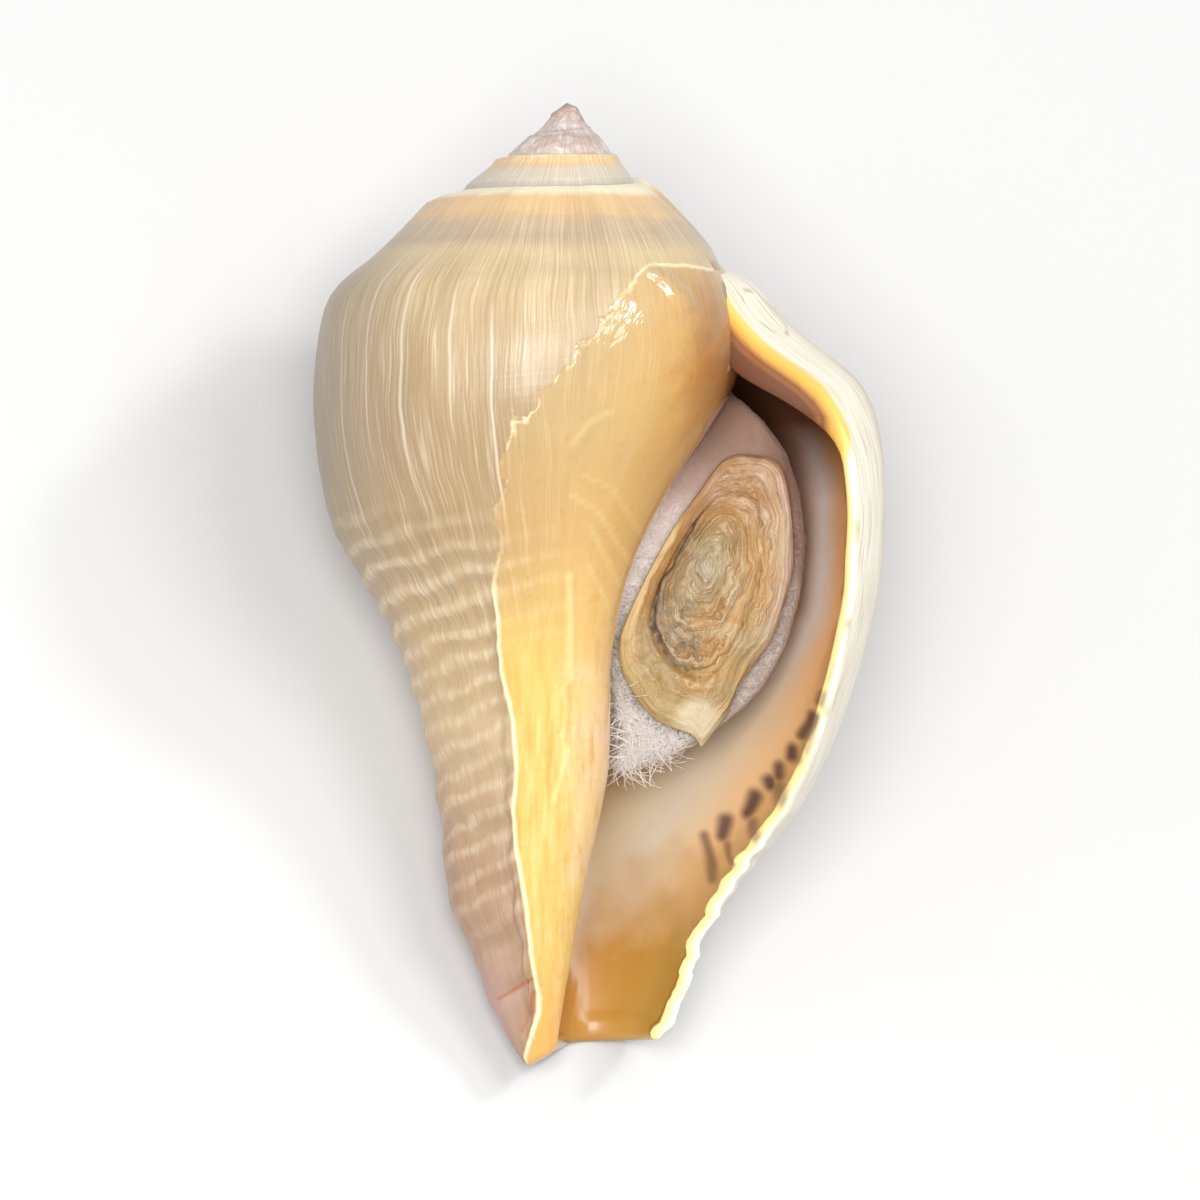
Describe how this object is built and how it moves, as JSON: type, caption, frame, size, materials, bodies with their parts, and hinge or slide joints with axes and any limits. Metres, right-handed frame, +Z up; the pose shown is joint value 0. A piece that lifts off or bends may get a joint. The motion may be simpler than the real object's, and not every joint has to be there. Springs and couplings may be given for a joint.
{
  "type": "pear-shaped sea snail shell with operculum",
  "caption": "Pear-shaped sea snail shell with a wide aperture and open siphonal canal, its horny operculum held on a wad of cotton; lies aperture up.",
  "frame": {"origin": "centre of the small flat worn spot on the back, on which the shell lies", "axes": "+Z up, out of the aperture; +Y roughly from the siphonal canal to the apex, seen from above; +X towards the outer lip"},
  "size_m": [0.0564, 0.0893, 0.0507],
  "materials": {
    "shell": "satin",
    "horn": "satin",
    "cotton": "matte"
  },
  "bodies": {
    "root": {"shell": "shell", "operculum": "horn", "cotton_wad": "cotton"}
  },
  "joints": []
}
